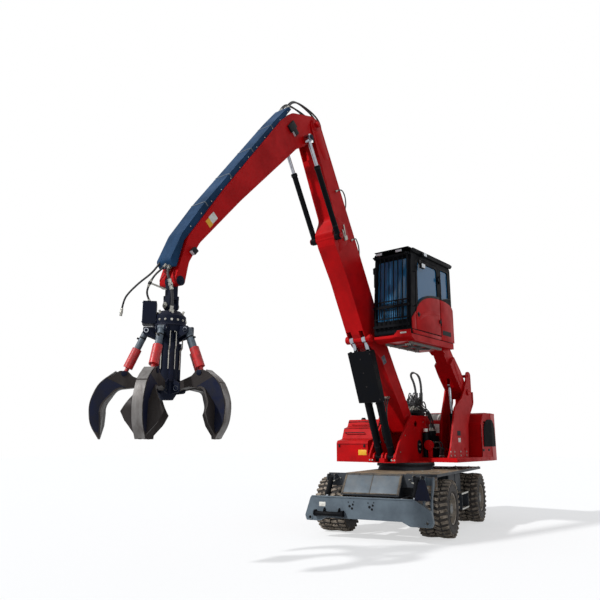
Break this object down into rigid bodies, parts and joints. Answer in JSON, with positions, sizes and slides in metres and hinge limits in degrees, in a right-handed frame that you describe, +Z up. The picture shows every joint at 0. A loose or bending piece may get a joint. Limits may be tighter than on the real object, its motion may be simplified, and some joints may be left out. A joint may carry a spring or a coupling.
{
  "type": "wheeled material handler",
  "caption": "Wheeled scrap handler with a raised cab, box boom and stick, rotating grapple, turning upper structure, steered twin wheels and a front blade.",
  "frame": {"origin": "on the slewing axis at ground level", "axes": "+X forward along the boom, +Y to the left where the cab is, +Z up; the undercarriage stands turned 12.5 degrees about +Z"},
  "size_m": [10.1619, 3.442, 8.097],
  "materials": {
    "red_paint": "satin, sun-faded, dusty",
    "tail_casting": "painted casting, satin",
    "graphite_paint": "satin, dusty",
    "black_paint": "satin",
    "rod_steel": "polished rod",
    "grapple_paint": "worn, scuffed to bare steel at the edges",
    "grapple_red": "worn satin",
    "grey_blue_paint": "worn satin",
    "tyre": "dusty tread",
    "rim_cream": "dusty satin",
    "glass": "clear",
    "seat_cloth": "woven",
    "hose_rubber": "matt",
    "fitting_steel": "plated"
  },
  "bodies": {
    "chassis": {"chassis_frame": "graphite_paint", "undercarriage_covers": "graphite_paint", "axles_and_drive_shaft": "graphite_paint"},
    "wheel_front_left": {"tyres_front_left": "tyre", "rims_front_left": "rim_cream"},
    "wheel_front_right": {"tyres_front_right": "tyre", "rims_front_right": "rim_cream"},
    "wheel_rear_left": {"tyres_rear_left": "tyre", "rims_rear_left": "rim_cream"},
    "wheel_rear_right": {"tyres_rear_right": "tyre", "rims_rear_right": "rim_cream"},
    "knuckle_left": {"steering_knuckle_left": "graphite_paint"},
    "knuckle_right": {"steering_knuckle_right": "graphite_paint"},
    "tie_rod": {"tie_rod": "black_paint"},
    "blade": {"blade": "graphite_paint"},
    "blade_barrels": {"blade_cylinder_barrels": "black_paint"},
    "blade_rods": {"blade_cylinder_rods": "rod_steel"},
    "upper": {"upper_frame": "red_paint", "counterweight": "tail_casting", "engine_hood": "red_paint", "side_tank": "red_paint", "engine_and_valve_block": "black_paint", "cab_tower": "red_paint"},
    "boom": {"boom": "red_paint"},
    "lift_barrels": {"lift_cylinder_barrels": "black_paint"},
    "lift_rods": {"lift_rod_guard": "black_paint", "lift_cylinder_rods": "rod_steel"},
    "stick": {"stick": "red_paint", "stick_hose_cover": "graphite_paint", "hanging_hose": "hose_rubber", "hose_fitting": "fitting_steel"},
    "stick_barrels": {"stick_cylinder_barrels": "black_paint"},
    "stick_rods": {"stick_cylinder_rods": "rod_steel"},
    "hanger": {"hanger_link": "black_paint"},
    "rotator_head": {"rotator_head": "black_paint"},
    "grapple": {"grapple_hub": "grapple_paint"},
    "tine_1": {"tine_1": "grapple_paint"},
    "tine_barrel_1": {"tine_barrel_1": "grey_blue_paint"},
    "tine_rod_1": {"tine_rod_1": "grapple_red"},
    "tine_2": {"tine_2": "grapple_paint"},
    "tine_barrel_2": {"tine_barrel_2": "grey_blue_paint"},
    "tine_rod_2": {"tine_rod_2": "grapple_red"},
    "tine_3": {"tine_3": "grapple_paint"},
    "tine_barrel_3": {"tine_barrel_3": "grey_blue_paint"},
    "tine_rod_3": {"tine_rod_3": "grapple_red"},
    "tine_4": {"tine_4": "grapple_paint"},
    "tine_barrel_4": {"tine_barrel_4": "grey_blue_paint"},
    "tine_rod_4": {"tine_rod_4": "grapple_red"},
    "tine_5": {"tine_5": "grapple_paint"},
    "tine_barrel_5": {"tine_barrel_5": "grey_blue_paint"},
    "tine_rod_5": {"tine_rod_5": "grapple_red"},
    "cab": {"cab_frame": "red_paint", "cab_carrier": "red_paint", "cab_glass": "glass", "cab_seat_and_consoles": "seat_cloth"},
    "door": {"cab_door": "red_paint"},
    "cab_arm": {"cab_arm": "red_paint"},
    "cab_link": {"cab_link": "red_paint"},
    "cab_barrel": {"cab_cylinder_barrel": "black_paint"},
    "cab_rod": {"cab_cylinder_rod": "rod_steel"}
  },
  "joints": [
    {"name": "slew", "type": "hinge", "parent": "chassis", "child": "upper", "pos_m": [0, 0, 0], "axis": [0, 0, 1], "continuous": true},
    {"name": "steer_left", "type": "hinge", "parent": "chassis", "child": "knuckle_left", "pos_m": [1.18814, 0.87797, 0], "axis": [0, 0, 1], "range_deg": [-25, 25]},
    {"name": "steer_right", "type": "hinge", "parent": "chassis", "child": "knuckle_right", "pos_m": [1.44786, -0.29358, 0], "axis": [0, 0, 1], "range_deg": [-25, 25]},
    {"name": "tie_rod_left", "type": "hinge", "parent": "knuckle_left", "child": "tie_rod", "pos_m": [0.94406, 0.82386, 0], "axis": [0, 0, 1], "range_deg": [-25, 25]},
    {"name": "wheel_front_left_spin", "type": "hinge", "parent": "knuckle_left", "child": "wheel_front_left", "pos_m": [1.318, 0.29219, 0.535], "axis": [-0.2164, 0.9763, 0], "continuous": true},
    {"name": "wheel_front_right_spin", "type": "hinge", "parent": "knuckle_right", "child": "wheel_front_right", "pos_m": [1.318, 0.29219, 0.535], "axis": [-0.2164, 0.9763, 0], "continuous": true},
    {"name": "wheel_rear_left_spin", "type": "hinge", "parent": "chassis", "child": "wheel_rear_left", "pos_m": [-1.34729, -0.29869, 0.535], "axis": [-0.2164, 0.9763, 0], "continuous": true},
    {"name": "wheel_rear_right_spin", "type": "hinge", "parent": "chassis", "child": "wheel_rear_right", "pos_m": [-1.34729, -0.29869, 0.535], "axis": [-0.2164, 0.9763, 0], "continuous": true},
    {"name": "blade_lift", "type": "hinge", "parent": "chassis", "child": "blade", "pos_m": [1.90378, 0.42206, 0.62], "axis": [0.2164, -0.9763, 0], "range_deg": [-34, 6]},
    {"name": "blade_barrel_swing", "type": "hinge", "parent": "chassis", "child": "blade_barrels", "pos_m": [2.03558, 0.45128, 1.095], "axis": [0.2164, -0.9763, 0], "range_deg": [-12.8, 2.26]},
    {"name": "blade_rod_slide", "type": "slide", "parent": "blade_barrels", "child": "blade_rods", "axis": [0.5439, 0.1206, -0.8304], "range_m": [-0.0363, 0.2057]},
    {"name": "boom_lift", "type": "hinge", "parent": "upper", "child": "boom", "pos_m": [0.106, 0, 2.151], "axis": [0, -1, 0], "range_deg": [-50, 15]},
    {"name": "lift_barrel_swing", "type": "hinge", "parent": "upper", "child": "lift_barrels", "pos_m": [0.793, 0, 1.45], "axis": [0, -1, 0], "range_deg": [-47.15, 14.14]},
    {"name": "lift_rod_slide", "type": "slide", "parent": "lift_barrels", "child": "lift_rods", "axis": [0.3637, 0, 0.9315], "range_m": [-0.8313, 0.2494]},
    {"name": "stick_swing", "type": "hinge", "parent": "boom", "child": "stick", "pos_m": [3.446, 0, 7.93605], "axis": [0, 1, 0], "range_deg": [-80, 30]},
    {"name": "stick_barrel_swing", "type": "hinge", "parent": "boom", "child": "stick_barrels", "pos_m": [2.84007, 0, 5.76055], "axis": [0, 1, 0], "range_deg": [-0.384, 0.144]},
    {"name": "stick_rod_slide", "type": "slide", "parent": "stick_barrels", "child": "stick_rods", "axis": [0.4788, 0, 0.8779], "range_m": [-0.2471, 0.6588]},
    {"name": "hanger_swing", "type": "hinge", "parent": "stick", "child": "hanger", "pos_m": [6.69782, 0, 4.08805], "axis": [0, -1, 0], "range_deg": [-70, 80]},
    {"name": "hanger_side_swing", "type": "hinge", "parent": "hanger", "child": "rotator_head", "pos_m": [6.69782, 0, 3.72804], "axis": [1, 0, 0], "range_deg": [-35, 35]},
    {"name": "grapple_rotation", "type": "hinge", "parent": "rotator_head", "child": "grapple", "pos_m": [6.69782, 0, 0], "axis": [0, 0, 1], "continuous": true},
    {"name": "tine_1_swing", "type": "hinge", "parent": "grapple", "child": "tine_1", "pos_m": [6.86008, -0.14105, 2.52005], "axis": [0.6561, 0.7547, 0], "range_deg": [-10, 46]},
    {"name": "tine_barrel_1_swing", "type": "hinge", "parent": "grapple", "child": "tine_barrel_1", "pos_m": [6.94687, -0.2165, 3.35005], "axis": [0.6561, 0.7547, 0], "range_deg": [-1.06, 4.86]},
    {"name": "tine_rod_1_slide", "type": "slide", "parent": "tine_barrel_1", "child": "tine_rod_1", "axis": [0.2973, -0.2584, -0.9191], "range_m": [-0.072, 0.3309]},
    {"name": "tine_2_swing", "type": "hinge", "parent": "grapple", "child": "tine_2", "pos_m": [6.88211, 0.11073, 2.52005], "axis": [-0.515, 0.8572, 0], "range_deg": [-10, 46]},
    {"name": "tine_barrel_2_swing", "type": "hinge", "parent": "grapple", "child": "tine_barrel_2", "pos_m": [6.98068, 0.16996, 3.35005], "axis": [-0.515, 0.8572, 0], "range_deg": [-1.06, 4.86]},
    {"name": "tine_rod_2_slide", "type": "slide", "parent": "tine_barrel_2", "child": "tine_rod_2", "axis": [0.3377, 0.2029, -0.9191], "range_m": [-0.072, 0.3309]},
    {"name": "tine_3_swing", "type": "hinge", "parent": "grapple", "child": "tine_3", "pos_m": [6.64945, 0.20949, 2.52005], "axis": [-0.9744, -0.225, 0], "range_deg": [-10, 46]},
    {"name": "tine_barrel_3_swing", "type": "hinge", "parent": "grapple", "child": "tine_barrel_3", "pos_m": [6.62358, 0.32154, 3.35005], "axis": [-0.9744, -0.225, 0], "range_deg": [-1.06, 4.86]},
    {"name": "tine_rod_3_slide", "type": "slide", "parent": "tine_barrel_3", "child": "tine_rod_3", "axis": [-0.0886, 0.3838, -0.9191], "range_m": [-0.072, 0.3309]},
    {"name": "tine_4_swing", "type": "hinge", "parent": "grapple", "child": "tine_4", "pos_m": [6.48363, 0.01874, 2.52005], "axis": [-0.0872, -0.9962, 0], "range_deg": [-10, 46]},
    {"name": "tine_barrel_4_swing", "type": "hinge", "parent": "grapple", "child": "tine_barrel_4", "pos_m": [6.36907, 0.02876, 3.35005], "axis": [-0.0872, -0.9962, 0], "range_deg": [-1.06, 4.86]},
    {"name": "tine_rod_4_slide", "type": "slide", "parent": "tine_barrel_4", "child": "tine_rod_4", "axis": [-0.3924, 0.0343, -0.9191], "range_m": [-0.072, 0.3309]},
    {"name": "tine_5_swing", "type": "hinge", "parent": "grapple", "child": "tine_5", "pos_m": [6.61381, -0.19791, 2.52005], "axis": [0.9205, -0.3907, 0], "range_deg": [-10, 46]},
    {"name": "tine_barrel_5_swing", "type": "hinge", "parent": "grapple", "child": "tine_barrel_5", "pos_m": [6.56888, -0.30377, 3.35005], "axis": [0.9205, -0.3907, 0], "range_deg": [-1.06, 4.86]},
    {"name": "tine_rod_5_slide", "type": "slide", "parent": "tine_barrel_5", "child": "tine_rod_5", "axis": [-0.1539, -0.3626, -0.9191], "range_m": [-0.072, 0.3309]},
    {"name": "cab_arm_lift", "type": "hinge", "parent": "upper", "child": "cab_arm", "pos_m": [-1.15, 0.78, 2.87], "axis": [0, 1, 0], "range_deg": [-8, 85]},
    {"name": "cab_level", "type": "hinge", "parent": "cab_arm", "child": "cab", "pos_m": [-0.31, 0.78, 3.79], "axis": [0, 1, 0], "range_deg": [-85, 8]},
    {"name": "cab_link_swing", "type": "hinge", "parent": "upper", "child": "cab_link", "pos_m": [-1.21, 0.78, 3.25], "axis": [0, 1, 0], "range_deg": [-8, 85]},
    {"name": "cab_barrel_swing", "type": "hinge", "parent": "upper", "child": "cab_barrel", "pos_m": [-0.85, 0.78, 1.6], "axis": [0, 1, 0], "range_deg": [-6.58, 0.62]},
    {"name": "cab_rod_slide", "type": "slide", "parent": "cab_barrel", "child": "cab_rod", "axis": [0.0743, 0, 0.9972], "range_m": [-0.5598, 0.0527]},
    {"name": "cab_door_swing", "type": "hinge", "parent": "cab", "child": "door", "pos_m": [0.422, 1.228, 0], "axis": [0, 0, 1], "range_deg": [0, 75]}
  ],
  "couplings": [
    {"joint": "steer_right", "follows": "steer_left", "ratio": 1},
    {"joint": "tie_rod_left", "follows": "steer_left", "ratio": -1},
    {"joint": "blade_barrel_swing", "follows": "blade_lift", "ratio": 0.3764},
    {"joint": "blade_rod_slide", "follows": "blade_lift", "m_per_rad": -0.3465},
    {"joint": "lift_barrel_swing", "follows": "boom_lift", "ratio": 0.943},
    {"joint": "lift_rod_slide", "follows": "boom_lift", "m_per_rad": 0.9525},
    {"joint": "stick_barrel_swing", "follows": "stick_swing", "ratio": 0.0048},
    {"joint": "stick_rod_slide", "follows": "stick_swing", "m_per_rad": -0.4718},
    {"joint": "tine_barrel_1_swing", "follows": "tine_1_swing", "ratio": 0.1057},
    {"joint": "tine_rod_1_slide", "follows": "tine_1_swing", "m_per_rad": 0.4121},
    {"joint": "tine_2_swing", "follows": "tine_1_swing", "ratio": 1},
    {"joint": "tine_barrel_2_swing", "follows": "tine_1_swing", "ratio": 0.1057},
    {"joint": "tine_rod_2_slide", "follows": "tine_1_swing", "m_per_rad": 0.4121},
    {"joint": "tine_3_swing", "follows": "tine_1_swing", "ratio": 1},
    {"joint": "tine_barrel_3_swing", "follows": "tine_1_swing", "ratio": 0.1057},
    {"joint": "tine_rod_3_slide", "follows": "tine_1_swing", "m_per_rad": 0.4121},
    {"joint": "tine_4_swing", "follows": "tine_1_swing", "ratio": 1},
    {"joint": "tine_barrel_4_swing", "follows": "tine_1_swing", "ratio": 0.1057},
    {"joint": "tine_rod_4_slide", "follows": "tine_1_swing", "m_per_rad": 0.4121},
    {"joint": "tine_5_swing", "follows": "tine_1_swing", "ratio": 1},
    {"joint": "tine_barrel_5_swing", "follows": "tine_1_swing", "ratio": 0.1057},
    {"joint": "tine_rod_5_slide", "follows": "tine_1_swing", "m_per_rad": 0.4121},
    {"joint": "cab_level", "follows": "cab_arm_lift", "ratio": -1},
    {"joint": "cab_link_swing", "follows": "cab_arm_lift", "ratio": 1},
    {"joint": "cab_barrel_swing", "follows": "cab_arm_lift", "ratio": -0.0774},
    {"joint": "cab_rod_slide", "follows": "cab_arm_lift", "m_per_rad": -0.3773}
  ]
}
